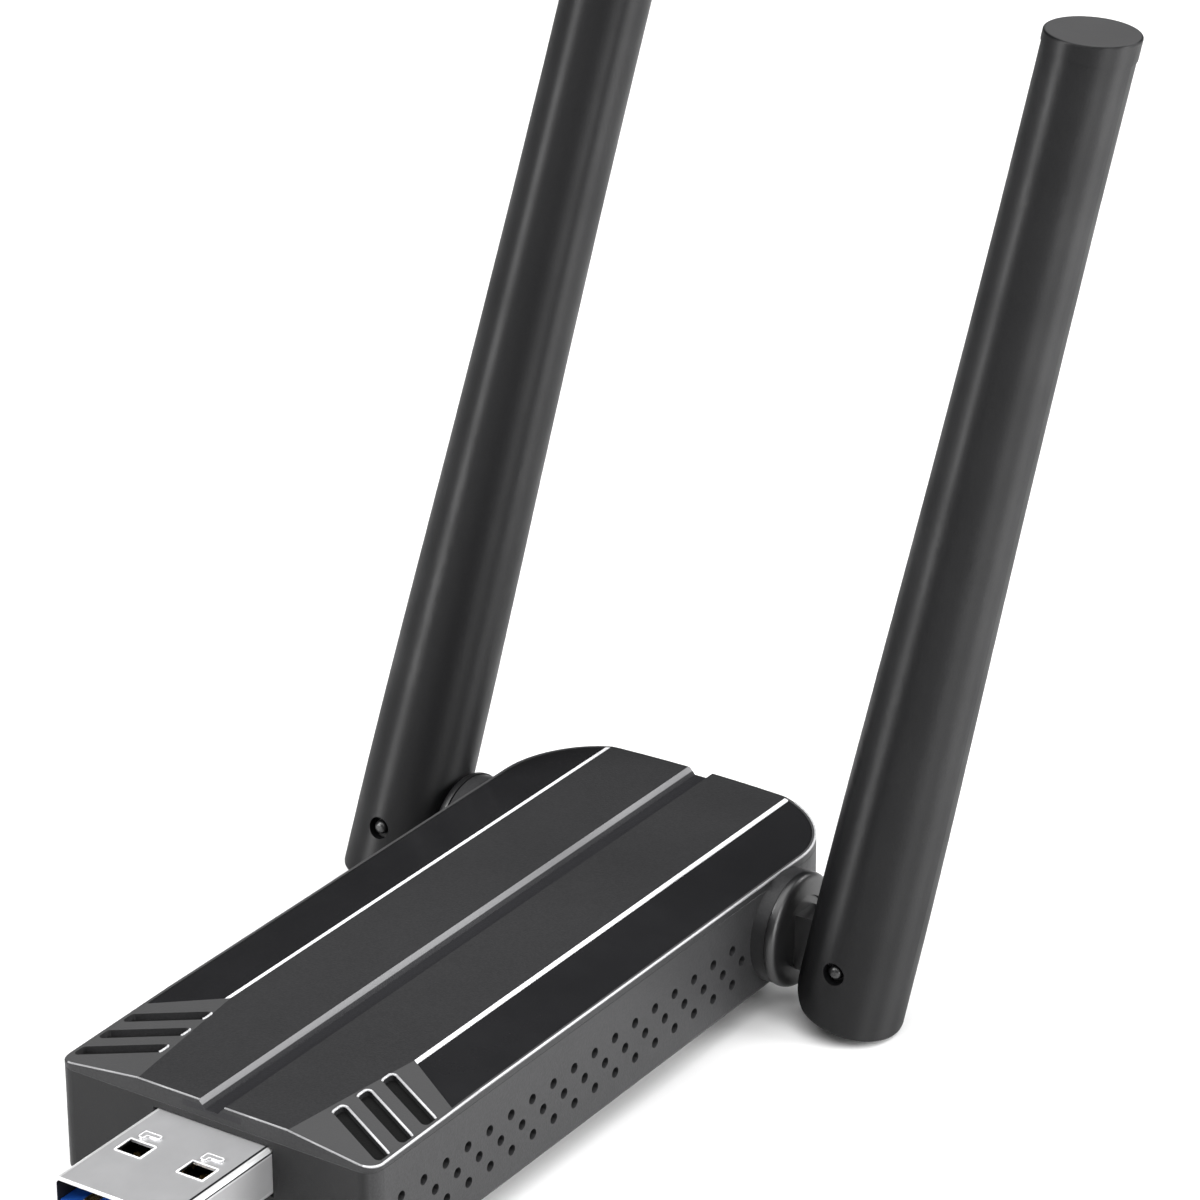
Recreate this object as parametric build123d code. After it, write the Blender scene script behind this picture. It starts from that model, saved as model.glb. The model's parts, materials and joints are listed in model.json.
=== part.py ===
from build123d import *
import math
import os

os.makedirs("parts", exist_ok=True)

# USB wifi adapter with two folding antennas. Millimetres, +Z up.
# Origin: centre of the housing's flat underside. The plug points to -Y,
# the antennas stand at the rear, +X is the right-hand antenna's side.

# ---- housing ----
WIDTH = 32.2
LENGTH = 72.8
FRONT = -LENGTH / 2
REAR = LENGTH / 2
HALF = WIDTH / 2
EDGE_Z = 10.5            # height of the long top edges
TOP_Z = 11.3             # height of the flat middle of the top
SEAM_Z = 9.8             # parting line between the two covers
PLATE_Z = 9.3            # underside of the top cover's plate
LIP_Z = 8.3              # lower end of the top cover's locating lip
WALL = 1.3
LIP_GAP = 0.1
LIP_THICK = 1.0
FRONT_CORNER = 1.5
REAR_CORNER = 8.0
REAR_BULGE = 1.0         # how far the rear edge's middle stands behind its corners
BEVEL = 0.1              # round the top's edge
SEAM_BEVEL = 0.04
FLOOR_ROUND = 0.5
CUTTER = (300.0, 300.0, 10.0)   # slab that is larger than any part it cuts

# ---- top surface ----
CREASE_FRONT = 7.6       # half width of the flat middle at the front edge
CREASE_REAR = 9.5        # and from the panels to the rear
PANEL_START = FRONT + 14.8
GROOVE_TOP = 2.6
GROOVE_FLOOR = 1.3
GROOVE_DEPTH = 0.7
PANEL_DEPTH = 0.5
PANEL_SUNK = 0.06
PANEL_GAP = 0.05
PANEL_EDGE = 0.38        # rim left outside each panel
PANEL_SLANT = math.radians(29.3)
TRIM_WIDTH = 0.42
SLOT_ANGLE = math.radians(25)
SLOT_WIDTH = 1.45
SLOT_PITCH = 3.12
SLOT_INNER_X = 8.8
SLOT_INNER_Y = FRONT + 5.25
SLOT_SPREAD = 0.18       # each slot starts a little further out than the one before
SLOT_OUTER_X = 15.65
SLOT_DEPTH = 0.6
SLOT_ROUND = 0.42

# ---- vents ----
VENT_R = 0.48
VENT_PITCH = 3.075
VENT_START = FRONT + 3.7
VENT_COUNT = 17
VENT_ROWS = (6.2, 4.52, 2.85)

# ---- USB plug ----
PLUG_Z = 6.85
PLUG_WIDTH = 12.0
PLUG_HEIGHT = 4.5
PLUG_SHEET = 0.3
PLUG_REACH = 12.8        # how far the plug stands out of the housing
PLUG_INSIDE = 6.0
PLUG_TIP = FRONT - PLUG_REACH
PLUG_CORNER = 0.65
WINDOW_X = 3.15
WINDOW_FROM_TIP = 6.85
WINDOW = (2.6, 2.1)
STAMP_BEHIND = 2.2       # from a window's centre to the small stamping behind it
STAMP = (0.85, 0.25, 0.14)     # half length, half width and height of the stamping
STAMP_LEG = 0.5          # length and width of its leg towards the window
TONGUE_TOP = PLUG_Z
INSERT_START = PLUG_TIP + 5.5   # the black insert begins here, flush with the tongue
CONTACT_PROUD = 0.06     # how far a contact stands above the tongue
CONTACT_DIVE = 0.4       # how deep the front four run below the insert
CONTACT_THICK = 0.18

# ---- board ----
BOARD_Z = 4.6
BOARD_THICK = 1.0
BOARD_TOP = BOARD_Z + BOARD_THICK
BOARD_HALF = 13.5
BOARD_FRONT = FRONT + 1.6
BOARD_REAR = 17.6
POSTS = [(x, y) for x in (-11.5, 11.5) for y in (-26.0, 14.0)]
RADIO_Y = -8.0
LED_Y = FRONT + 46.9

# ---- hinges ----
HINGE_Y = FRONT + 61.0
HINGE_Z = 5.3
COLLAR_R = 5.2
COLLAR_OUT = 1.4
HEAD_R = 5.3
HEAD_START = 1.5         # all three from the side wall, outwards
HEAD_END = 2.5
FACE_R = 3.45            # the head's flat outer face, inside its round shoulder
FACE_SUNK = 0.2
RIM_WIDTH = 0.12
FACE_DRAFT = 0.1         # slope of the sunk face's wall
HEAD_EDGE = 0.15         # straight part of the head's rim before its shoulder
ARM_ROOT = 0.6           # how far the tongue's arm is rooted in the head
BORE_SHORT = 3.2         # the coax bore ends this far short of the pin
SPIGOT_R = 3.0
RUNNING = 0.05           # radial clearance of the turning fits
SPIGOT_IN = 2.8          # how far the spigot stands inside the side wall's outer face
COAX_R = 0.56
COAX_BORE_R = 0.8
PIN_OUT = 8.4            # from the side wall to the pin
PIN_DROP = 0.5           # the pin sits this much below the barrel's axis
PIN_R = 0.65
PIN_RECESS_R = 1.05
TONGUE_HALF = 1.5        # half thickness of the barrel's tongue
TONGUE_HEIGHT = 2.6      # half height, and the radius of its eye
SLOT_SIDE_GAP = 0.2

# ---- antennas, measured from the pin along the antenna ----
FOOT_R = 4.97
TIP_R = 3.92
FOOT_DOWN = 5.8
FOOT_SLANT = 5.0         # degrees that the foot's underside falls away from the housing
FOOT_ROUND = 0.4
FOOT_BLANK = FOOT_DOWN + 3.0   # the foot's length before its underside is cut
SLEEVE_TOP = 87.2
CAP_TOP = 88.65
CAP_R = 4.0              # the cap stands a little proud of the sleeve
CAP_SLANT = 8.0          # degrees that its face is turned towards the housing
CAP_ROUND = 0.2
SLEEVE_WALL = 0.95
CAVITY_START = 8.0
CAP_PLUG = 3.0
INNER_ROUND_R = 5.75     # the foot's inner corner is round about the pin, to swing past the barrel

# ---- rest pose ----
SWIVEL_BACK = {"left": 8.5, "right": 2.1}    # degrees that each antenna leans back about its barrel
TILT_RIGHT = {"left": 10.3, "right": 11.5}   # degrees that each leans towards +X about its pin


def export(node, solid):
    """Write one node's STEP file."""
    export_step(solid, f"parts/{node}.step")


def box(x0, x1, y0, y1, z0, z1):
    """Box between two opposite corners."""
    size = Box(x1 - x0, y1 - y0, z1 - z0)
    return Pos((x0 + x1) / 2, (y0 + y1) / 2, (z0 + z1) / 2) * size


def rod_x(radius, x0, x1, y, z):
    """Cylinder along X."""
    return Pos((x0 + x1) / 2, y, z) * Rot(0, 90, 0) * Cylinder(radius, abs(x1 - x0))


# =============================================================== housing
def plan(inset=0.0):
    """The housing's outline seen from above."""
    shoulder = REAR - REAR_BULGE
    outline = Line((-HALF, FRONT), (HALF, FRONT))
    outline += Line((HALF, FRONT), (HALF, shoulder))
    outline += ThreePointArc((HALF, shoulder), (0, REAR), (-HALF, shoulder))
    outline += Line((-HALF, shoulder), (-HALF, FRONT))
    face = make_face(outline)
    face = fillet(face.vertices().sort_by(Axis.Y)[:2], FRONT_CORNER)
    face = fillet(face.vertices().sort_by(Axis.Y)[-2:], REAR_CORNER)
    return offset(face, amount=-inset) if inset else face


def above_plane(a, b, c):
    """Thick slab that lies on top of the plane through three points."""
    a, b, c = Vector(a), Vector(b), Vector(c)
    normal = (b - a).cross(c - a)
    if normal.Z < 0:
        normal = normal * -1
    return Plane(a, x_dir=b - a, z_dir=normal) * Pos(0, 0, CUTTER[2] / 2) * Box(*CUTTER)


def crown(base):
    """The housing's top from a given height up: flat middle and two flanks of two planes each."""
    solid = Pos(0, 0, base) * extrude(plan(), TOP_Z - base)
    for side in (-1, 1):
        crease_start = (side * CREASE_FRONT, FRONT, TOP_Z)
        crease_end = (side * CREASE_REAR, PANEL_START, TOP_Z)
        edge = (side * HALF, PANEL_START, EDGE_Z)
        solid -= above_plane(crease_start, crease_end, edge)
        solid -= above_plane(crease_end, (side * CREASE_REAR, REAR, TOP_Z), edge)
    return solid


def skin(region, depth, top, sunk=0.0):
    """A layer of the top in a region, between two depths that follow the surface."""
    prism = Pos(0, 0, PLATE_Z) * extrude(region, 4)
    return (prism & Pos(0, 0, -sunk) * top) - Pos(0, 0, -depth) * top


def slot_region(index, side):
    """Plan of one slanted slot on one flank."""
    half = SLOT_WIDTH / math.cos(SLOT_ANGLE) / 2
    x0 = SLOT_INNER_X + SLOT_SPREAD * index
    y0 = SLOT_INNER_Y + SLOT_PITCH * index
    y1 = y0 - (SLOT_OUTER_X - x0) * math.tan(SLOT_ANGLE)
    corners = [(x0, y0 - half), (x0, y0 + half), (SLOT_OUTER_X, y1 + half), (SLOT_OUTER_X, y1 - half)]
    face = make_face(Polyline(*[(side * x, y) for x, y in corners], close=True))
    return fillet(face.vertices(), SLOT_ROUND)


def panel_region(side, inner_x, outer_x, gap=0.0):
    """Plan of a strip of one flank, behind its slanted front edge."""
    def front_edge(x):
        return PANEL_START + gap - (x - CREASE_REAR) * math.tan(PANEL_SLANT)

    x0 = inner_x + gap
    x1 = outer_x - gap
    corners = [(x0, front_edge(x0)), (x1, front_edge(x1)), (x1, REAR + 1), (x0, REAR + 1)]
    strip = make_face(Polyline(*[(side * x, y) for x, y in corners], close=True))
    return strip & plan(PANEL_EDGE + gap)


def groove():
    """The long groove in the middle of the top, wider at its mouth."""
    points = [
        (-GROOVE_TOP / 2 - 0.1, FRONT - 1, TOP_Z + 0.1),
        (-GROOVE_FLOOR / 2, FRONT - 1, TOP_Z - GROOVE_DEPTH),
        (GROOVE_FLOOR / 2, FRONT - 1, TOP_Z - GROOVE_DEPTH),
        (GROOVE_TOP / 2 + 0.1, FRONT - 1, TOP_Z + 0.1),
    ]
    return extrude(make_face(Polyline(*points, close=True)), LENGTH + 2, dir=(0, 1, 0))


def snap_hooks(grow=0.0):
    """Four hooks on the lip, or with grow their pockets in the lower cover's wall."""
    reach = HALF - WALL + 0.25 + grow
    hooks = []
    for side in (-1, 1):
        for y in (FRONT + 22, FRONT + 44):
            x0, x1 = sorted((side * (HALF - WALL - LIP_GAP - 0.3), side * reach))
            hooks.append(box(x0, x1, y - 2 - grow, y + 2 + grow, 8.5 - grow, 9.1 + grow))
    return hooks


def light_pipe():
    """Clear rod from the status light up to the groove's floor."""
    foot_z = BOARD_TOP + 0.8
    top_z = TOP_Z - GROOVE_DEPTH - 0.03
    rod = box(-0.35, 0.35, LED_Y - 0.8, LED_Y + 0.8, foot_z, top_z)
    flange = box(-1.2, 1.2, LED_Y - 1.4, LED_Y + 1.4, PLATE_Z - 0.6, PLATE_Z)
    return rod + flange


def is_crease(edge):
    """True for an edge between two faces of the top, false for one on the housing's outline."""
    middle = edge.position_at(0.5)
    return plan(0.2).face().is_inside((middle.X, middle.Y, 0))


SIDES = {"left": -1, "right": 1}
deep_crown = crown(PLATE_Z - 2)
rim = [
    edge for face in deep_crown.faces() if abs(face.normal_at().Z) > 0.9 and face.center().Z > SEAM_Z
    for edge in face.edges() if not is_crease(edge)
]
top_cover = chamfer(rim, BEVEL) & box(-HALF, HALF, FRONT, REAR, SEAM_Z, TOP_Z)
top_cover = chamfer(top_cover.faces().sort_by(Axis.Z)[0].edges(), SEAM_BEVEL)
top_cover += extrude(plan(WALL + LIP_GAP), SEAM_Z + 0.05 - PLATE_Z).moved(Location((0, 0, PLATE_Z)))
lip = plan(WALL + LIP_GAP) - plan(WALL + LIP_GAP + LIP_THICK)
lip = Pos(0, 0, LIP_Z) * extrude(lip, PLATE_Z - LIP_Z + 0.2)
for hook in snap_hooks():
    lip += hook
lip -= box(-6.6, 6.6, FRONT, FRONT + 4, LIP_Z - 1, PLATE_Z)
lip -= box(-HALF, HALF, HINGE_Y - 5.6, HINGE_Y + 5.6, LIP_Z - 1, PLATE_Z)
top_cover += lip
top_cover -= groove()
gloss_panels = {}
trim_lines = {}
for name, side in SIDES.items():
    trim_inner = CREASE_REAR
    trim_outer = CREASE_REAR + TRIM_WIDTH
    whole = panel_region(side, trim_inner, HALF + 1)
    top_cover -= skin(whole, PANEL_DEPTH, deep_crown)
    panel = panel_region(side, trim_outer, HALF + 1, PANEL_GAP)
    gloss_panels[name] = skin(panel, PANEL_DEPTH, deep_crown, PANEL_SUNK)
    trim_lines[name] = skin(panel_region(side, trim_inner, trim_outer), PANEL_DEPTH, deep_crown)
    for index in range(3):
        top_cover -= skin(slot_region(index, side), SLOT_DEPTH, deep_crown)
top_cover -= light_pipe()

# lower cover: a tub with vents, plug opening, board posts and hinge collars
tub = extrude(plan(), SEAM_Z)
tub = fillet(tub.faces().sort_by(Axis.Z)[0].edges(), FLOOR_ROUND)
tub = chamfer(tub.faces().sort_by(Axis.Z)[-1].edges(), SEAM_BEVEL)
tub -= Pos(0, 0, WALL) * extrude(plan(WALL), SEAM_Z)
for x, y in POSTS:
    tub += Pos(x, y, (WALL - 0.2 + BOARD_Z) / 2) * Cylinder(1.6, BOARD_Z - WALL + 0.2)
    tub += Pos(x, y, BOARD_Z + 0.4) * Cylinder(0.6, 0.9)
for side in SIDES.values():
    collar = rod_x(COLLAR_R, side * (HALF - 0.6), side * (HALF + COLLAR_OUT), HINGE_Y, HINGE_Z)
    tub += collar - box(-HALF, HALF, HINGE_Y - 9, HINGE_Y + 9, SEAM_Z, TOP_Z)
    tub -= rod_x(SPIGOT_R + RUNNING, side * (HALF - 3), side * (HALF + 3), HINGE_Y, HINGE_Z)
for pocket in snap_hooks(0.1):
    tub -= pocket
tub -= Pos(0, FRONT, PLUG_Z) * Box(PLUG_WIDTH + 0.1, 4, PLUG_HEIGHT + 0.1)
vents = []
for row, z in enumerate(VENT_ROWS):
    for i in range(VENT_COUNT):
        y = VENT_START + VENT_PITCH * (i + 0.5 * (row % 2))
        vents.append(rod_x(VENT_R, -HALF - 1, HALF + 1, y, z))
tub -= vents

export("top_cover", top_cover)
export("bottom_cover", tub)
export("led_light_pipe", light_pipe())
for name in SIDES:
    export(f"gloss_panel_{name}", gloss_panels[name])
    export(f"trim_line_{name}", trim_lines[name])


# =============================================================== USB plug
def plug_sleeve(inset, y0, y1):
    """Rounded rectangular prism along Y, the plug's outline less an inset."""
    section = RectangleRounded(
        PLUG_WIDTH - 2 * inset, PLUG_HEIGHT - 2 * inset, max(PLUG_CORNER - inset, 0.2)
    )
    return extrude(Plane((0, y0, PLUG_Z), x_dir=(1, 0, 0), z_dir=(0, 1, 0)) * section, y1 - y0)


def usb_contact(x, width, front, dives=False, bump_y=None):
    """One contact: a blade on the tongue, a riser in the rear block and a foot on the board."""
    z = TONGUE_TOP + CONTACT_PROUD
    back = FRONT + PLUG_INSIDE + 0.9
    deep = z
    top = [(front, z)]
    bottom = [(front, z - CONTACT_THICK)]
    if dives:
        deep = z - CONTACT_DIVE
        top += [(INSERT_START - 0.4, z), (INSERT_START, deep)]
        bottom = [(INSERT_START, deep - CONTACT_THICK), (INSERT_START - 0.4, z - CONTACT_THICK)] + bottom
    foot = BOARD_TOP + CONTACT_THICK
    tail = [(back, deep), (back, foot), (back + 1.1, foot), (back + 1.1, BOARD_TOP),
            (back - CONTACT_THICK, BOARD_TOP), (back - CONTACT_THICK, deep - CONTACT_THICK)]
    corners = [(x - width / 2, y, h) for y, h in top + tail + bottom]
    solid = extrude(make_face(Polyline(*corners, close=True)), width, dir=(1, 0, 0))
    if bump_y is not None:
        arc = Pos(x, bump_y, z - 0.3) * Rot(0, 90, 0) * Cylinder(0.75, width)
        solid += arc & box(x - width, x + width, bump_y - 1, bump_y + 1, z - 0.1, z + 1)
    return solid


def latch_stamp(x, y):
    """Small hook pressed up out of the plug's top, behind a window."""
    half, side, height = STAMP
    corners = [(-half, side), (half, side), (half, -side), (STAMP_LEG - half, -side),
               (STAMP_LEG - half, -side - STAMP_LEG), (-half, -side - STAMP_LEG)]
    hook = extrude(make_face(Polyline(*corners, close=True)), 2 * height)
    hook = fillet(hook.edges().filter_by(Axis.Z), 0.15)
    return Pos(x, y, PLUG_Z + PLUG_HEIGHT / 2 - height) * hook


shell = plug_sleeve(0, PLUG_TIP, FRONT + PLUG_INSIDE) - plug_sleeve(PLUG_SHEET, PLUG_TIP - 1, FRONT + 9)
window_y = PLUG_TIP + WINDOW_FROM_TIP
for x in (-WINDOW_X, WINDOW_X):
    shell -= Pos(x, window_y, PLUG_Z) * Box(WINDOW[0], WINDOW[1], PLUG_HEIGHT + 1)
    shell += latch_stamp(x, window_y + STAMP_BEHIND)
usb2 = [usb_contact(x, 1.1, PLUG_TIP + 1.2, dives=True) for x in (-3.5, -1.0, 1.0, 3.5)]
usb3_x = (-4.5, -2.25, 0.0, 2.25, 4.5)
usb3 = [usb_contact(x, 0.7, PLUG_TIP + 8.2, bump_y=PLUG_TIP + 9.0) for x in usb3_x]
inside = PLUG_SHEET + 0.05
block_start = FRONT + 3.0
below_tongue_top = box(-HALF, HALF, PLUG_TIP, block_start, 0, TONGUE_TOP)
tongue = plug_sleeve(inside, PLUG_TIP + 0.35, INSERT_START) & below_tongue_top
rear_block = plug_sleeve(inside, INSERT_START, block_start) & below_tongue_top
rear_block += plug_sleeve(inside, block_start, FRONT + PLUG_INSIDE)
rear_block += box(-5.2, 5.2, FRONT + PLUG_INSIDE, FRONT + PLUG_INSIDE + 0.8, BOARD_TOP, PLUG_Z + 1.5)
for contact in usb2 + usb3:
    tongue -= contact
    rear_block -= contact
export("usb_shell", shell)
export("usb_tongue", tongue)
export("usb_rear_block", rear_block)
export("usb2_contacts", Compound(usb2))
export("usb3_contacts", Compound(usb3))


# =============================================================== board
def chip(x, y, size_x, size_y, height, z=BOARD_TOP):
    """Flat package standing on the board."""
    body = Pos(x, y, z + height / 2) * Box(size_x, size_y, height)
    return chamfer(body.faces().sort_by(Axis.Z)[-1].edges(), min(0.12, height / 4))


def shield_can():
    """Thin tin lid over the radio, open towards the board."""
    outer = Pos(0, RADIO_Y, BOARD_TOP + 1.25) * Box(19, 17, 2.5)
    outer = fillet(outer.edges().filter_by(Axis.Z), 1.0)
    inner = Pos(0, RADIO_Y, BOARD_TOP + 1.15) * Box(18.6, 16.6, 2.3)
    lid = outer - fillet(inner.edges().filter_by(Axis.Z), 0.8)
    for x in (-6, -2, 2, 6):
        for y in (-5, 0, 5):
            lid -= Pos(x, RADIO_Y + y, BOARD_TOP + 2.4) * Cylinder(0.5, 1)
    return lid


board = box(-BOARD_HALF, BOARD_HALF, BOARD_FRONT, BOARD_REAR, BOARD_Z, BOARD_TOP)
board -= box(-6.1, 6.1, BOARD_FRONT - 1, FRONT + PLUG_INSIDE + 0.1, BOARD_Z - 1, BOARD_TOP + 1)
for x, y in POSTS:
    board -= Pos(x, y, BOARD_TOP) * Cylinder(0.65, 4)
board = fillet(board.edges().filter_by(Axis.Z).sort_by(Axis.Y)[-2:], 1.5)
inductor = chip(-9.5, -20.5, 4.0, 4.0, 1.0)
inductor += Pos(-9.5, -20.5, BOARD_TOP + 1.3) * Cylinder(1.7, 0.8)
places = [(x, y) for y in (-23.5, -17.8, 3.5, 6.5) for x in (-5.0, -2.5, 2.5, 5.0)]
capacitors = [chip(x, y, 1.6, 0.8, 0.8) for x, y in places]
amplifiers = [chip(x, y, 3.0, 3.0, 0.8) for x in (-11.3, 11.3) for y in (-6.0, 6.5)]

export("circuit_board", board)
export("rf_shield", shield_can())
export("wifi_chip", chip(0, RADIO_Y, 9.0, 9.0, 0.9))
export("crystal", chip(6.6, RADIO_Y + 3, 3.2, 2.5, 0.8))
export("flash_chip", chip(9.0, -20.5, 4.0, 5.0, 1.5))
export("power_inductor", inductor)
export("board_capacitors", Compound(capacitors))
export("front_end_chips", Compound(amplifiers))
export("status_led", chip(0, LED_Y, 1.6, 0.8, 0.7))
export("thermal_pad", box(-6, 6, RADIO_Y - 6, RADIO_Y + 6, 3.0, BOARD_Z))
spreader = box(-9, 9, RADIO_Y - 13, RADIO_Y + 13, WALL, 3.0)
export("heat_spreader", fillet(spreader.edges().filter_by(Axis.Z), 1.0))


# =============================================================== swivels
def turn_profile(points):
    """Solid of revolution about the X axis from (x, radius) points."""
    outline = [(points[0][0], 0)] + points + [(points[-1][0], 0)]
    return revolve(make_face(Polyline(*[(x, 0, r) for x, r in outline], close=True)), Axis.X)


def swivel_barrel():
    """Right-hand barrel: spigot with a clip groove, round head, tongue with the pin's eye."""
    inner = HALF - SPIGOT_IN
    head_in = HALF + HEAD_START
    head_out = HALF + HEAD_END
    solid = turn_profile([
        (inner, SPIGOT_R - 0.2), (inner + 0.2, SPIGOT_R), (inner + 0.45, SPIGOT_R),
        (inner + 0.45, SPIGOT_R - 0.5), (inner + 1.1, SPIGOT_R - 0.5), (inner + 1.1, SPIGOT_R),
        (head_in + 0.1, SPIGOT_R),
    ])
    edge_end = head_in + HEAD_EDGE
    face = head_out - FACE_SUNK
    rim_in = FACE_R - RIM_WIDTH
    outline = Line((head_in, 0), (head_in, HEAD_R)) + Line((head_in, HEAD_R), (edge_end, HEAD_R))
    outline += Spline((edge_end, HEAD_R), (head_out, FACE_R), tangents=[(1, 0), (0.12, -1)])
    outline += Line((head_out, FACE_R), (head_out, rim_in))
    outline += Line((head_out, rim_in), (face, rim_in - FACE_DRAFT))
    outline += Line((face, rim_in - FACE_DRAFT), (face, 0))
    outline += Line((face, 0), (head_in, 0))
    solid += revolve(Plane.XZ * make_face(outline), Axis.X)
    arm_size = Box(PIN_OUT - HEAD_END + ARM_ROOT, 2 * TONGUE_HALF, 2 * TONGUE_HEIGHT)
    arm = Pos(HALF + (PIN_OUT + HEAD_END - ARM_ROOT) / 2, 0, -PIN_DROP) * arm_size
    eye = Pos(HALF + PIN_OUT, 0, -PIN_DROP) * Rot(90, 0, 0) * Cylinder(TONGUE_HEIGHT, 2 * TONGUE_HALF)
    solid += arm + eye
    solid -= rod_x(COAX_BORE_R, inner - 1, HALF + PIN_OUT - BORE_SHORT, 0, 0)
    solid -= Pos(HALF + PIN_OUT, 0, -PIN_DROP) * Rot(90, 0, 0) * Cylinder(PIN_R + RUNNING, 4)
    return solid


def ring_x(inner_r, outer_r, x0, x1, mouth=0.0):
    """Ring about the X axis, with a gap at the bottom when mouth is given."""
    ring = rod_x(outer_r, x0, x1, 0, 0) - rod_x(inner_r, x0 - 1, x1 + 1, 0, 0)
    if mouth:
        ring -= box(x0 - 1, x1 + 1, -mouth / 2, mouth / 2, -outer_r - 1, 0)
    return ring


def coax_route():
    """Right-hand lead from the board's rear edge round to the barrel's bore."""
    z = BOARD_TOP + COAX_R + 0.1
    end = (HALF - SPIGOT_IN - 0.4, HINGE_Y, HINGE_Z)
    corners = [(9.0, 13.0, z), (9.0, 19.0, z), (9.0, HINGE_Y, HINGE_Z), end]
    path = FilletPolyline(*corners, radius=[1.8, 1.8])
    start = Plane(corners[0], z_dir=(0, 1, 0))
    return sweep(start * Circle(COAX_R), path)


# =============================================================== antennas
def sleeve_radius_points(inset):
    """Radius of the antenna at a few heights above the pin, less an inset."""
    stations = [(20.0, 4.74), (45.0, 4.27), (64.0, 4.02)]
    return [(r - inset, h) for h, r in stations]


def sleeve_solid(inset, low, high):
    """Round tapering rod about the Z axis, from one height to another."""
    curve = Spline(
        (FOOT_R - inset, 0), *sleeve_radius_points(inset), (TIP_R - inset, SLEEVE_TOP),
        tangents=[(0, 1), (0, 1)],
    )
    outline = Line((0, -FOOT_BLANK), (FOOT_R - inset, -FOOT_BLANK))
    outline += Line((FOOT_R - inset, -FOOT_BLANK), (FOOT_R - inset, 0))
    outline += curve
    outline += Line((TIP_R - inset, SLEEVE_TOP), (0, SLEEVE_TOP))
    outline += Line((0, SLEEVE_TOP), (0, -FOOT_BLANK))
    rod = revolve(Plane.XZ * make_face(outline), Axis.Z)
    return rod & box(-9, 9, -9, 9, low, high)


def foot_slot():
    """Slot that the tongue swings in, from straight in line to past upright."""
    reach = FOOT_BLANK
    top = TONGUE_HEIGHT + 0.3
    corners = [(0, top), (-reach, top + 1.7), (-reach, -reach), (top, -reach), (top, 0)]
    side_view = make_face(Polyline(*corners, close=True)) + Circle(top)
    width = 2 * (TONGUE_HALF + SLOT_SIDE_GAP)
    return Pos(0, width / 2, 0) * extrude(Plane.XZ * side_view, width)


def antenna_sleeve():
    """Right-hand sleeve about the pin: slotted foot below, hollow tapering tube above."""
    solid = sleeve_solid(0, -FOOT_BLANK, SLEEVE_TOP)
    solid -= Pos(0, 0, -FOOT_DOWN) * Rot(0, FOOT_SLANT, 0) * Pos(0, 0, -CUTTER[2] / 2) * Box(*CUTTER)
    solid = fillet(solid.faces().sort_by(Axis.Z)[0].edges(), FOOT_ROUND)
    past_corner = Rot(90, 0, 0) * Cylinder(INNER_ROUND_R, 12)
    past_corner += box(-9, 9, -9, 9, 0, SLEEVE_TOP + 1)
    past_corner += box(0, 9, -9, 9, -9, 1)
    solid &= past_corner
    solid -= sleeve_solid(SLEEVE_WALL, CAVITY_START, SLEEVE_TOP)
    solid -= foot_slot()
    solid -= Pos(0, 0, CAVITY_START / 2 + 1) * Cylinder(COAX_BORE_R, CAVITY_START)
    solid -= Rot(90, 0, 0) * Cylinder(PIN_R, 12)
    for side in (-1, 1):
        solid -= Pos(0, side * (FOOT_R - 0.35), 0) * Rot(90, 0, 0) * Cylinder(PIN_RECESS_R, 1.0)
    return solid


def antenna_cap():
    """Round cap pressed into the sleeve's top, with a slanting face."""
    height = 2 * (CAP_TOP - SLEEVE_TOP)
    disc = Pos(0, 0, SLEEVE_TOP + height / 2) * Cylinder(CAP_R, height)
    disc -= Pos(0, 0, CAP_TOP) * Rot(0, -CAP_SLANT, 0) * Pos(0, 0, CUTTER[2] / 2) * Box(*CUTTER)
    disc = fillet(disc.faces().sort_by(Axis.Z)[-1].edges(), CAP_ROUND)
    plug_r = TIP_R - SLEEVE_WALL - 0.05
    return disc + Pos(0, 0, SLEEVE_TOP - CAP_PLUG / 2) * Cylinder(plug_r, CAP_PLUG)


def hinge_pin():
    """Pin across the foot with domed ends."""
    pin = Rot(90, 0, 0) * Cylinder(PIN_R, 2 * FOOT_R - 0.2)
    ends = [f.edges() for f in (pin.faces().sort_by(Axis.Y)[0], pin.faces().sort_by(Axis.Y)[-1])]
    return fillet(ends[0] + ends[1], PIN_R * 0.75)


def standing_rod(radius, low, high):
    """Cylinder on the antenna's axis."""
    return Pos(0, 0, (low + high) / 2) * Cylinder(radius, high - low)


def choke_tube():
    """Brass sleeve of the dipole, closed round the coax at its upper end."""
    tube = standing_rod(1.9, 22, 46) - standing_rod(1.6, 21, 45)
    return tube - standing_rod(COAX_R, 40, 47)


antenna_pieces = {
    "hinge_pin": hinge_pin(),
    "antenna_sleeve": antenna_sleeve(),
    "antenna_cap": antenna_cap(),
    "antenna_choke_tube": choke_tube(),
    "antenna_coax": standing_rod(COAX_R, TONGUE_HEIGHT + 1.0, 48),
    "antenna_radiator": standing_rod(0.35, 48, 80),
}
spigot_in = HALF - SPIGOT_IN
swivel_pieces = {
    "swivel_barrel": swivel_barrel(),
    "swivel_clip": ring_x(SPIGOT_R - 0.45, SPIGOT_R + 0.8, spigot_in + 0.5, spigot_in + 1.05, 3.4),
    "swivel_washer": ring_x(SPIGOT_R + 0.05, SPIGOT_R + 0.9, spigot_in + 1.1, HALF - WALL - 0.02),
    "swivel_coax": rod_x(COAX_R, spigot_in + 0.1, HALF + PIN_OUT - BORE_SHORT - 0.2, 0, 0),
}
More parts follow.
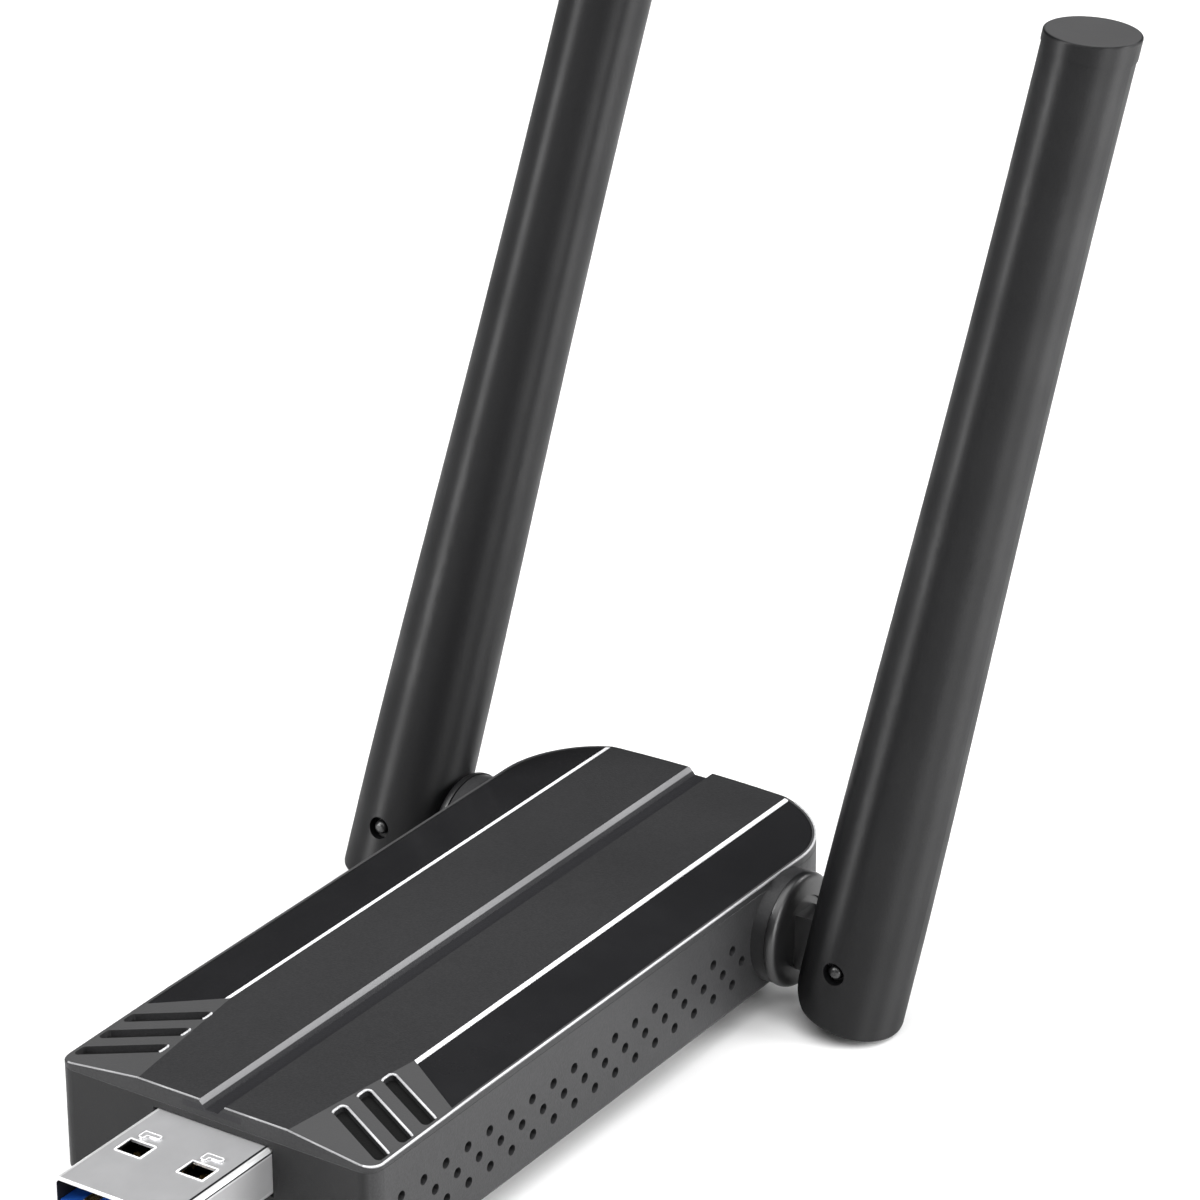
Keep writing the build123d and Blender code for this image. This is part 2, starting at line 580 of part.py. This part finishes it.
for name, side in SIDES.items():
    lead = coax_route()
    export(f"coax_lead_{name}", lead if side > 0 else mirror(lead, Plane.YZ))
    at_barrel = Pos(0, HINGE_Y, HINGE_Z) * Rot(-SWIVEL_BACK[name], 0, 0)
    at_pin = at_barrel * Pos(side * (HALF + PIN_OUT), 0, -PIN_DROP) * Rot(0, TILT_RIGHT[name], 0)
    for piece, solid in swivel_pieces.items():
        solid = solid if side > 0 else mirror(solid, Plane.YZ)
        export(f"{name}_{piece}", at_barrel * solid)
    for piece, solid in antenna_pieces.items():
        solid = solid if side > 0 else mirror(solid, Plane.YZ)
        export(f"{name}_{piece}", at_pin * solid)
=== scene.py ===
import json
import math

import bmesh
import bpy
from mathutils import Matrix, Vector


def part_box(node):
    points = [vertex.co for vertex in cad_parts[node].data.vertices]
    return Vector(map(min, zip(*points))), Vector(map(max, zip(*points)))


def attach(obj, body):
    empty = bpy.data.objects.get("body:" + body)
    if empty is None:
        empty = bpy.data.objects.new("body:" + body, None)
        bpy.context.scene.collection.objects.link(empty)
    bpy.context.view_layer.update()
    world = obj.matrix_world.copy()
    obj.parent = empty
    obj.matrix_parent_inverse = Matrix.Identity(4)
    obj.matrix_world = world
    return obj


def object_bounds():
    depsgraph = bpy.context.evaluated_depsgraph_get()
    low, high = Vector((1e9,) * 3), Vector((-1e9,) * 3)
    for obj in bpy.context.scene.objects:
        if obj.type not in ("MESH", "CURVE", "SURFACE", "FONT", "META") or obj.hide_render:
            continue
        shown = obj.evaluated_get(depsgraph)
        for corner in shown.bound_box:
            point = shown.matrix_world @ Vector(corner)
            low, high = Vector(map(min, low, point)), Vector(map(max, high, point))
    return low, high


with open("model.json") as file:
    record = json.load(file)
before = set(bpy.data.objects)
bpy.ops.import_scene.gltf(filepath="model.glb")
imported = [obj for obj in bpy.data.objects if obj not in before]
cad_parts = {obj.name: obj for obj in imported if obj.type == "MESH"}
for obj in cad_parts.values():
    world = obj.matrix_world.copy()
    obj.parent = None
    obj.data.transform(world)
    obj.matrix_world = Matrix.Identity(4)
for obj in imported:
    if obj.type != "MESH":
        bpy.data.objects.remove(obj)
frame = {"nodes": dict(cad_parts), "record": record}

NODES = frame["nodes"]
CAD_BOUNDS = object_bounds()
MM = 0.001


# ---------------------------------------------------------------- how materials are made

NOISE_LOW, NOISE_HIGH = 0.3, 0.7    # nearly all of a noise lies between these
MASK_EDGE = 0.05 * MM               # how softly a mask begins and ends


class Look:
    """A node material: one Principled shader, and the noise and masks that vary what it shows."""

    def __init__(self, name, color, roughness, metallic=0.0, ior_level=0.5):
        self.material = bpy.data.materials.new(name)
        self.material.use_nodes = True
        self.nodes = self.material.node_tree.nodes
        self.links = self.material.node_tree.links
        self.shader = self.nodes["Principled BSDF"]
        self.color = color
        self.shader.inputs["Base Color"].default_value = (*color, 1.0)
        self.shader.inputs["Roughness"].default_value = roughness
        self.shader.inputs["Metallic"].default_value = metallic
        self.shader.inputs["Specular IOR Level"].default_value = ior_level
        coordinates = self.nodes.new("ShaderNodeTexCoord")
        self.place = coordinates.outputs["Object"]
        self.normal = coordinates.outputs["Normal"]
        self.relief = None

    def stretch(self, x, y, z):
        """The place, scaled along each axis."""
        scaled = self.nodes.new("ShaderNodeMapping")
        scaled.inputs["Scale"].default_value = (x, y, z)
        self.links.new(self.place, scaled.inputs["Vector"])
        return scaled.outputs["Vector"]

    def noise(self, grain, detail, place=None):
        """Noise whose blobs are about grain metres across."""
        noise = self.nodes.new("ShaderNodeTexNoise")
        noise.inputs["Scale"].default_value = 1.0 / grain
        noise.inputs["Detail"].default_value = detail
        self.links.new(place or self.place, noise.inputs["Vector"])
        return noise.outputs["Fac"]

    def cells(self, grain):
        """Rounded cells about grain metres across, as spark-eroded tooling leaves in plastic."""
        cells = self.nodes.new("ShaderNodeTexVoronoi")
        cells.feature = "SMOOTH_F1"
        cells.inputs["Scale"].default_value = 1.0 / grain
        self.links.new(self.place, cells.inputs["Vector"])
        return cells.outputs["Distance"]

    def spread(self, source, low, high, start=NOISE_LOW, end=NOISE_HIGH):
        """The source, moved from the range start to end into the range low to high."""
        span = self.nodes.new("ShaderNodeMapRange")
        span.inputs["From Min"].default_value = start
        span.inputs["From Max"].default_value = end
        span.inputs["To Min"].default_value = low
        span.inputs["To Max"].default_value = high
        self.links.new(source, span.inputs["Value"])
        return span.outputs["Result"]

    def along(self, vector, axis):
        split = self.nodes.new("ShaderNodeSeparateXYZ")
        self.links.new(vector, split.inputs["Vector"])
        return split.outputs[axis]

    def calculate(self, operation, *terms):
        """A Math node's result; each term is a socket or a number."""
        node = self.nodes.new("ShaderNodeMath")
        node.operation = operation
        for socket, term in zip(node.inputs, terms):
            if isinstance(term, float):
                socket.default_value = term
            else:
                self.links.new(term, socket)
        return node.outputs["Value"]

    def both(self, a, b):
        return self.calculate("MULTIPLY", a, b)

    def facing(self, axis, start, end):
        """Mask that rises from 0 to 1 as the surface turns towards an object axis."""
        return self.spread(self.along(self.normal, axis), 0.0, 1.0, start, end)

    def between(self, axis, low, high):
        """Mask of what lies between low and high on an object axis."""
        place = self.along(self.place, axis)
        above = self.spread(place, 0.0, 1.0, low, low + MASK_EDGE)
        below = self.spread(place, 0.0, 1.0, high, high - MASK_EDGE)
        return self.both(above, below)

    def under_roof(self, height, shoulder, slope):
        """Mask of what is under a roof that has this height at the shoulder and falls sideways."""
        aside = self.calculate("ABSOLUTE", self.along(self.place, "X"))
        level = self.calculate("MULTIPLY_ADD", aside, slope, self.along(self.place, "Z"))
        top = height + slope * shoulder
        return self.spread(level, 0.0, 1.0, top, top - MASK_EDGE)

    def tint(self, mask, color):
        """Where the mask is 1, the colour is this one instead."""
        target = self.shader.inputs["Base Color"]
        mix = self.nodes.new("ShaderNodeMixRGB")
        self.links.new(mask, mix.inputs["Fac"])
        self.links.new(target.links[0].from_socket, mix.inputs["Color1"])
        mix.inputs["Color2"].default_value = (*color, 1.0)
        self.links.new(mix.outputs["Color"], target)

    def vary_color(self, source, dark, light):
        """The colour runs from dark to light times the base colour."""
        ramp = self.nodes.new("ShaderNodeValToRGB")
        low, high = ramp.color_ramp.elements
        low.position, high.position = NOISE_LOW, NOISE_HIGH
        low.color = (*[c * dark for c in self.color], 1.0)
        high.color = (*[min(1.0, c * light) for c in self.color], 1.0)
        self.links.new(source, ramp.inputs["Fac"])
        self.links.new(ramp.outputs["Color"], self.shader.inputs["Base Color"])

    def vary_roughness(self, source, low, high):
        self.links.new(self.spread(source, low, high), self.shader.inputs["Roughness"])

    def bump(self, source, depth):
        """Adds relief that is depth metres deep, on top of any that is there."""
        bump = self.nodes.new("ShaderNodeBump")
        bump.inputs["Distance"].default_value = depth
        bump.inputs["Strength"].default_value = 1.0
        self.links.new(source, bump.inputs["Height"])
        if self.relief:
            self.links.new(self.relief, bump.inputs["Normal"])
        self.relief = bump.outputs["Normal"]
        self.links.new(self.relief, self.shader.inputs["Normal"])


def textured(name, color, roughness, grain, depth, ior_level=0.5):
    """Moulded plastic with a fine even grain."""
    look = Look(name, color, roughness, ior_level=ior_level)
    look.vary_color(look.noise(grain * 1.3, 3.0), 0.86, 1.14)
    look.vary_roughness(look.noise(6 * MM, 2.0), roughness - 0.04, roughness + 0.04)
    look.bump(look.cells(grain), depth)
    look.bump(look.noise(grain * 0.5, 2.0), depth * 0.6)
    return look


def textured_plastic(*look):
    return textured(*look).material


def smooth_plastic(name, color, roughness, ior_level=0.5):
    """Polished plastic, with a slight unevenness and faint handling marks."""
    look = Look(name, color, roughness, ior_level=ior_level)
    look.vary_color(look.noise(5 * MM, 3.0), 0.92, 1.08)
    look.vary_roughness(look.noise(2.2 * MM, 4.0), roughness - 0.03, roughness + 0.03)
    look.bump(look.noise(1.6 * MM, 1.0), 0.002 * MM)
    return look.material


def rolled_metal(name, color, roughness, stretch=(1.0, 1.0, 1.0), metallic=1.0):
    """Bare or plated metal with rolling marks that run along the least stretched axis."""
    look = Look(name, color, roughness, metallic=metallic)
    marks = look.noise(0.12 * MM, 3.0, look.stretch(*stretch))
    look.vary_color(look.noise(3.5 * MM, 3.0), 0.95, 1.04)
    look.vary_roughness(marks, roughness - 0.05, roughness + 0.07)
    look.bump(marks, 0.002 * MM)
    return look


def metal(*look, **more):
    return rolled_metal(*look, **more).material


# ---------------------------------------------------------------- the adapter's materials

STEEL = (0.63, 0.63, 0.64)
# white of the painted highlights on the plug's edges, windows and stamps
HIGHLIGHT_WHITE = (0.95, 0.95, 0.95)
SHADE = (0.02, 0.02, 0.022)
RECESS_SHADE = (0.008, 0.008, 0.008)      # painted shade in holes and slots
LIT_FLANK = (0.060, 0.060, 0.061)       # painted light on the top's two sloping flanks
WALL_HIGHLIGHT = (0.20, 0.20, 0.205)      # painted highlight on the groove's left wall
# painted shade on the bottom cover's front wall
FRONT_SHADE = (0.012, 0.012, 0.0125)
GRAPHITE = (0.005, 0.005, 0.0055)   # the antennas
# painted light on the caps' upward faces
CAP_TOP_LIGHT = (0.055, 0.055, 0.056)
MIDDLE = 3.0 * MM                   # the groove lies this near to the housing's middle
HIGHLIGHT_DEPTH = 0.36 * MM           # depth down to which the groove's wall carries the painted highlight; painted shade lies below
GROOVE_DEPTH = 1.0 * MM             # more than the groove's own depth
SLOT_SHADE = 0.35 * MM              # painted shade fills the slots below this depth
SHOULDER = 8.2 * MM                 # the top falls away to the sides from here
CROWN_SLOPE = 0.10
SKIN = 0.5 * MM                     # the housing's outer surfaces lie within this of its box
SHEET = 0.24 * MM                   # a little less than the thickness of the plug's steel

# Bands along the plug's long upper edges, painted highlight and painted shade, then bare steel: the
# sideways part of the surface's normal where each band begins and where it is full, and its colour.
# Each one covers the one before.
EDGE_HIGHLIGHT_BANDS = (
    (0.05, 0.08, SHADE), (0.28, 0.34, HIGHLIGHT_WHITE), (0.89, 0.91, SHADE), (0.965, 0.98, STEEL),
    (-0.03, -0.08, HIGHLIGHT_WHITE),
)


def top_plastic():
    """Top cover plastic: painted light on the flanks, painted shade in slots and groove, a painted
    highlight on one wall.
    """
    look = textured("top_plastic", (0.027, 0.027, 0.028), 0.50, 0.16 * MM, 0.012 * MM, 0.2)
    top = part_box("top_cover")[1][2]
    upward = look.facing("Z", 0.90, 0.97)
    slot_floor_shade = look.under_roof(top - SLOT_SHADE, SHOULDER, CROWN_SLOPE)
    for towards in (1, -1):
        lit_flank = look.both(look.facing("X", towards * 0.03, towards * 0.08), upward)
        look.tint(lit_flank, LIT_FLANK)
        look.tint(look.both(lit_flank, slot_floor_shade), RECESS_SHADE)
    look.tint(look.both(look.facing("X", 0.40, 0.55), look.facing("Z", 0.25, 0.40)), WALL_HIGHLIGHT)
    groove_shade_depth = look.between("Z", top - GROOVE_DEPTH, top - HIGHLIGHT_DEPTH)
    look.tint(look.both(look.between("X", -MIDDLE, MIDDLE), groove_shade_depth), SHADE)
    return look.material


def housing_plastic():
    """The bottom cover's plastic: painted shade on the front wall and in the vents."""
    look = textured("housing_plastic", (0.030, 0.030, 0.031), 0.46, 0.16 * MM, 0.010 * MM, 0.2)
    (west, front, _), (east, rear, _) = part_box("top_cover")
    look.tint(look.facing("Y", -0.80, -0.95), FRONT_SHADE)
    across = look.between("X", west + SKIN, east - SKIN)
    look.tint(look.both(across, look.between("Y", front + SKIN, rear - SKIN)), RECESS_SHADE)
    return look.material


def plug_steel():
    """Plated sheet, with painted highlight and painted dark bands on its rolled upper edges, and
    painted shade inside.
    """
    look = rolled_metal("plug_steel", STEEL, 0.34, (1.0, 0.05, 1.0), metallic=0.6)
    for start, full, color in EDGE_HIGHLIGHT_BANDS:
        look.tint(look.both(look.facing("X", start, full), look.facing("Z", -0.02, 0.02)), color)
    (west, _, bottom), (east, _, top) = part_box("usb_shell")
    across = look.between("X", west + SHEET, east - SHEET)
    inner_shade = look.both(across, look.between("Z", bottom + SHEET, top - SHEET))
    look.tint(look.both(inner_shade, look.facing("X", 0.5, 0.7)), SHADE)
    return look.material


def centre(node):
    low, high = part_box(node)
    return (Vector(low) + Vector(high)) / 2


def turned_plastic(name, side, color, lit_top_color=None):
    """An antenna's plastic: fine marks run around it, so that highlights stretch along its axis."""
    look = textured(name, color, 0.50, 0.15 * MM, 0.004 * MM, 0.28)
    look.bump(look.noise(0.12 * MM, 2.0, look.stretch(0.1, 0.1, 1.0)), 0.003 * MM)
    axis = look.nodes.new("ShaderNodeVectorTransform")
    axis.vector_type = "VECTOR"
    axis.convert_from = "OBJECT"
    axis.convert_to = "WORLD"
    upwards = centre(side + "_antenna_cap") - centre(side + "_hinge_pin")
    axis.inputs["Vector"].default_value = upwards.normalized()
    look.links.new(axis.outputs["Vector"], look.shader.inputs["Tangent"])
    look.shader.inputs["Anisotropic"].default_value = 0.9
    # painted light: a cap's upward faces are lighter
    if lit_top_color:
        look.tint(look.facing("Z", 0.85, 0.95), lit_top_color)
    return look.material


HINGE = ((0.006, 0.006, 0.0065), 0.36, 0.14 * MM, 0.003 * MM, 0.80)
SILICONE = ((0.35, 0.40, 0.50), 0.8, 0.2 * MM, 0.01 * MM)
EPOXY = ((0.025, 0.025, 0.026), 0.6, 0.08 * MM, 0.004 * MM)
MATERIALS = {
    "top_plastic": top_plastic(),
    "housing_plastic": housing_plastic(),
    "gloss_black": smooth_plastic("gloss_black", (0.014, 0.014, 0.015), 0.22, 0.2),
    "bright_trim": smooth_plastic("bright_trim", (0.86, 0.86, 0.88), 0.25, 0.5),
    "smoked_lens": smooth_plastic("smoked_lens", (0.012, 0.012, 0.014), 0.15, 0.4),
    "plug_steel": plug_steel(),
    "usb_blue": smooth_plastic("usb_blue", (0.012, 0.085, 0.42), 0.32),
    "black_insulator": smooth_plastic("black_insulator", (0.020, 0.020, 0.021), 0.4),
    "gold_contacts": metal("gold_contacts", (0.83, 0.58, 0.27), 0.22, (1.0, 0.1, 1.0)),
    "board_green": smooth_plastic("board_green", (0.015, 0.12, 0.05), 0.35),
    "tin_plate": metal("tin_plate", (0.72, 0.72, 0.70), 0.3),
    "chip_epoxy": textured_plastic("chip_epoxy", *EPOXY),
    "capacitor_ceramic": smooth_plastic("capacitor_ceramic", (0.36, 0.25, 0.16), 0.45),
    "led_resin": smooth_plastic("led_resin", (0.80, 0.78, 0.62), 0.2),
    "thermal_silicone": textured_plastic("thermal_silicone", *SILICONE),
    "spreader_aluminium": metal("spreader_aluminium", (0.78, 0.78, 0.79), 0.3, (1.0, 0.06, 1.0)),
    "coax_jacket": smooth_plastic("coax_jacket", (0.02, 0.02, 0.02), 0.45),
    "hinge_plastic": textured_plastic("hinge_plastic", *HINGE),
    "spring_steel": metal("spring_steel", (0.5, 0.5, 0.5), 0.3),
    "dipole_brass": metal("dipole_brass", (0.75, 0.55, 0.26), 0.3, (1.0, 1.0, 0.06)),
}


def antenna_plastic(node):
    """The material of a sleeve or a cap, whose marks run around its own antenna."""
    side = node.split("_")[0]
    if node.endswith("_cap"):
        return turned_plastic(side + "_cap_plastic", side, GRAPHITE, CAP_TOP_LIGHT)
    return turned_plastic(side + "_sleeve_plastic", side, GRAPHITE)


for part in frame["record"]["subparts"]:
    mesh = NODES[part["node"]].data
    slot_name = part["material_slot"]
    mesh.materials.clear()
    if slot_name == "antenna_plastic":
        mesh.materials.append(antenna_plastic(part["node"]))
    else:
        mesh.materials.append(MATERIALS[slot_name])


# ---------------------------------------------------------------- edges, and beads of painted highlight

WELD = 0.001 * MM            # points nearer than this are one, for the bevel
JOINED = 0.002 * MM          # and for the painted highlight beads
EDGE_ROUND = 0.05 * MM
SHARP = math.radians(30)

UP = 0.9                     # a face with at least this much up in its normal belongs to the top
OVER_EDGE = 0.8              # and one with less than this to a wall
ROUNDED = 0.5                # more than this: the wall is the first strip of the top's round edge
UPRIGHT = 0.2                # less than this: the wall stands upright
SIDEWAYS = 0.3               # more than this: the round edge runs along the housing's side
SLOT_END = 0.8               # more than this sideways: the wall is the end of a slot
SLOT_REAR = -0.4             # less than this: it is a slot's rear wall
GROOVE_HALF = 1.1 * MM
SLOTS_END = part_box("gloss_panel_right")[0][1] + 3 * MM
SLOTS_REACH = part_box("top_cover")[1][0] - 0.3 * MM
WINDOWS_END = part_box("usb_shell")[0][1] + 8.1 * MM


def soften_edges(node):
    """Rounds a CAD node's sharp edges."""
    piece = NODES[node]
    weld = piece.modifiers.new("weld", "WELD")
    weld.merge_threshold = WELD
    bevel = piece.modifiers.new("edges", "BEVEL")
    bevel.width = EDGE_ROUND
    bevel.segments = 2
    bevel.limit_method = "ANGLE"
    bevel.angle_limit = SHARP


def sharp_edges(node, rule):
    """Ends of the node's edges where its top breaks into a wall that the rule wants."""
    piece = NODES[node]
    turn = piece.matrix_world.to_3x3()
    form = bmesh.new()
    form.from_mesh(piece.data)
    bmesh.ops.remove_doubles(form, verts=form.verts, dist=JOINED)
    found = []
    for edge in form.edges:
        if len(edge.link_faces) != 2 or not edge.is_convex:
            continue
        normals = [(turn @ face.normal).normalized() for face in edge.link_faces]
        top, wall = sorted(normals, key=lambda n: -n.z)
        start, end = (piece.matrix_world @ v.co for v in edge.verts)
        if top.z > UP and wall.z < OVER_EDGE and rule((start + end) / 2, wall):
            found.append((start, end))
    form.free()
    return found


def bead(form, start, end, radius, sides=8):
    """Thin round rod from start to end, with a point at each end so that beads meet smoothly."""
    along = (end - start).normalized()
    across = along.orthogonal().normalized()
    turned = along.cross(across)
    rings = []
    for middle in (start, end):
        ring = []
        for i in range(sides):
            angle = 2 * math.pi * i / sides
            outward = across * math.cos(angle) + turned * math.sin(angle)
            ring.append(form.verts.new(middle + radius * outward))
        rings.append(ring)
    point = along * radius * 0.6
    tips = [form.verts.new(start - point), form.verts.new(end + point)]
    for i in range(sides):
        j = (i + 1) % sides
        form.faces.new((rings[0][i], rings[0][j], rings[1][j], rings[1][i]))
        form.faces.new((rings[0][j], rings[0][i], tips[0]))
        form.faces.new((rings[1][i], rings[1][j], tips[1]))


def highlight_beads(name, node, rule, radius, material):
    """A bright bead along some of a CAD node's edges: a painted highlight."""
    form = bmesh.new()
    for start, end in sharp_edges(node, rule):
        bead(form, start, end, radius)
    mesh = bpy.data.meshes.new(name)
    form.to_mesh(mesh)
    form.free()
    for face in mesh.polygons:
        face.use_smooth = True
    mesh.materials.append(material)
    piece = bpy.data.objects.new(name, mesh)
    bpy.context.collection.objects.link(piece)
    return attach(piece, "housing")


def on_side_rim(place, wall):
    return wall.z > ROUNDED and place.x > MIDDLE and abs(wall.x) > SIDEWAYS


def on_front_rim(place, wall):
    """The front edge, but not in the groove's mouth."""
    forward = wall.y < 0 and place.y < 0 and abs(wall.x) <= SIDEWAYS
    return wall.z > ROUNDED and forward and abs(place.x) > GROOVE_HALF


def on_slot(place, wall):
    """The slots' inner ends, and the rear edges of those on the right."""
    if abs(wall.x) > SLOT_END:
        lit = wall.x * place.x > 0
    else:
        lit = wall.y < SLOT_REAR and place.x > 0
    among_slots = MIDDLE < abs(place.x) < SLOTS_REACH and place.y < SLOTS_END
    return lit and among_slots and abs(wall.z) < UPRIGHT


def on_windows(place, wall):
    return abs(wall.z) < UPRIGHT and place.y < WINDOWS_END


def on_stamps(place, wall):
    return abs(wall.z) < UPRIGHT and place.y >= WINDOWS_END


for shell_node in ("top_cover", "bottom_cover"):
    soften_edges(shell_node)
# Painted highlights: bright beads on the top's right and front rims, the slots' lit edges, and the
# plug's windows and stamps.
RIM_HIGHLIGHT = smooth_plastic("rim_highlight", (0.50, 0.50, 0.51), 0.3)
RIM_DIM_HIGHLIGHT = smooth_plastic("rim_dim_highlight", (0.26, 0.26, 0.265), 0.3)
PLUG_HIGHLIGHT = metal("plug_white", HIGHLIGHT_WHITE, 0.3, metallic=0.2)
highlight_beads("side_rim_highlight", "top_cover", on_side_rim, 0.09 * MM, RIM_HIGHLIGHT)
highlight_beads("front_rim_highlight", "top_cover", on_front_rim, 0.08 * MM, RIM_DIM_HIGHLIGHT)
highlight_beads("slot_rim_highlights", "top_cover", on_slot, 0.11 * MM, RIM_HIGHLIGHT)
highlight_beads("plug_rim_highlights", "usb_shell", on_windows, 0.08 * MM, PLUG_HIGHLIGHT)
highlight_beads("stamp_rim_highlights", "usb_shell", on_stamps, 0.04 * MM, PLUG_HIGHLIGHT)


# ---------------------------------------------------------------- floor and light

FLOOR_REACH = 4.0
FLOOR_Z = CAD_BOUNDS[0][2] - 0.2 * MM
CARD_Z = FLOOR_Z + 2 * MM
AIM = (0.0, 0.0, 0.03)       # what most of the lights point at
BARREL = (0.02, 0.02, 0.01)  # near the swivel barrels
HORIZON_LOW, HORIZON_HIGH = 0.08, 0.26    # the backdrop fades between these heights
HORIZON_LIGHT = 0.95
SKY_LIGHT = 0.22


def floor():
    mesh = bpy.data.meshes.new("floor")
    form = bmesh.new()
    bmesh.ops.create_grid(form, x_segments=8, y_segments=8, size=FLOOR_REACH)
    form.to_mesh(mesh)
    form.free()
    piece = bpy.data.objects.new("floor", mesh)
    piece.location = (0, 0, FLOOR_Z)
    bpy.context.collection.objects.link(piece)
    look = Look("floor_paper", (0.90, 0.90, 0.90), 0.9, ior_level=0.1)
    look.vary_color(look.noise(60 * MM, 2.0), 0.985, 1.0)
    mesh.materials.append(look.material)


def area_light(name, width, length, power):
    data = bpy.data.lights.new(name, "AREA")
    data.shape = "RECTANGLE"
    data.size = width
    data.size_y = length
    data.energy = power
    lamp = bpy.data.objects.new(name, data)
    bpy.context.collection.objects.link(lamp)
    return lamp


def softbox(name, place, target, width, height, power):
    lamp = area_light(name, width, height, power)
    lamp.location = place
    lamp.rotation_euler = (Vector(target) - Vector(place)).to_track_quat("-Z", "Y").to_euler()


def floor_card(name, start, end, width, power):
    """Light that lies on the floor from start to end and shines up."""
    start, end = Vector((*start, CARD_Z)), Vector((*end, CARD_Z))
    lamp = area_light(name, width, (end - start).length, power)
    along = (end - start).normalized()
    down = Vector((0.0, 0.0, -1.0))
    turn = Matrix((along.cross(down), along, down)).transposed()
    lamp.matrix_world = Matrix.Translation((start + end) / 2) @ turn.to_4x4()


def overhead(power, spread_degrees):
    """The broad light above that whitens the floor."""
    data = bpy.data.lights.new("overhead", "SUN")
    data.energy = power
    data.angle = math.radians(spread_degrees)
    lamp = bpy.data.objects.new("overhead", data)
    lamp.location = (0, 0, 1)
    lamp.rotation_euler = (math.radians(12), math.radians(6), 0)
    bpy.context.collection.objects.link(lamp)


def studio_world():
    """Pale at the horizon, as a backdrop is, and dim above it."""
    world = bpy.data.worlds.new("studio")
    bpy.context.scene.world = world
    world.use_nodes = True
    nodes = world.node_tree.nodes
    links = world.node_tree.links
    place = nodes.new("ShaderNodeTexCoord")
    split = nodes.new("ShaderNodeSeparateXYZ")
    fade = nodes.new("ShaderNodeMapRange")
    fade.interpolation_type = "SMOOTHSTEP"
    fade.inputs["From Min"].default_value = HORIZON_LOW
    fade.inputs["From Max"].default_value = HORIZON_HIGH
    fade.inputs["To Min"].default_value = HORIZON_LIGHT
    fade.inputs["To Max"].default_value = SKY_LIGHT
    links.new(place.outputs["Generated"], split.inputs["Vector"])
    links.new(split.outputs["Z"], fade.inputs["Value"])
    links.new(fade.outputs["Result"], nodes["Background"].inputs["Strength"])


floor()
studio_world()
overhead(3.2, 70)
softbox("right", (0.58, 0.22, 0.18), AIM, 0.26, 0.44, 4.0)
softbox("right_front", (0.52, -0.16, 0.18), AIM, 0.20, 0.44, 2.0)
softbox("front_left", (-0.38, -0.48, 0.20), AIM, 0.13, 0.44, 3.4)
softbox("rim", (0.33, 0.60, 0.42), AIM, 0.22, 0.22, 1.6)
softbox("shoulder", (-0.37, -0.31, 0.50), BARREL, 0.09, 0.09, 1.0)
floor_card("low_right", (0.170, -0.060), (0.170, 0.160), 0.170, 0.20)

bpy.context.scene.view_settings.view_transform = "Standard"


# ---------------------------------------------------------------- camera

CAMERA_PLACE = Vector((0.220706, -0.307531, 0.213348))
AZIMUTH = math.radians(33.979)
ELEVATION = math.radians(24.358)
ROLL = math.radians(-0.247)
LENS = 149.2
CLIP_START = 0.01


def camera():
    """The camera looks down at the plug's end of the adapter, from the right."""
    level = Vector((math.cos(AZIMUTH), math.sin(AZIMUTH), 0.0))
    forward = Vector((-math.sin(AZIMUTH), math.cos(AZIMUTH), 0.0))
    ahead = forward * math.cos(ELEVATION) - Vector((0.0, 0.0, math.sin(ELEVATION)))
    upward = level.cross(ahead)
    right = level * math.cos(ROLL) + upward * math.sin(ROLL)
    up = upward * math.cos(ROLL) - level * math.sin(ROLL)
    data = bpy.data.cameras.new("camera")
    data.lens = LENS
    data.clip_start = CLIP_START
    seat = bpy.data.objects.new("camera", data)
    turn = Matrix((right, up, -ahead)).transposed()
    seat.matrix_world = Matrix.Translation(CAMERA_PLACE) @ turn.to_4x4()
    bpy.context.collection.objects.link(seat)
    bpy.context.scene.camera = seat


camera()
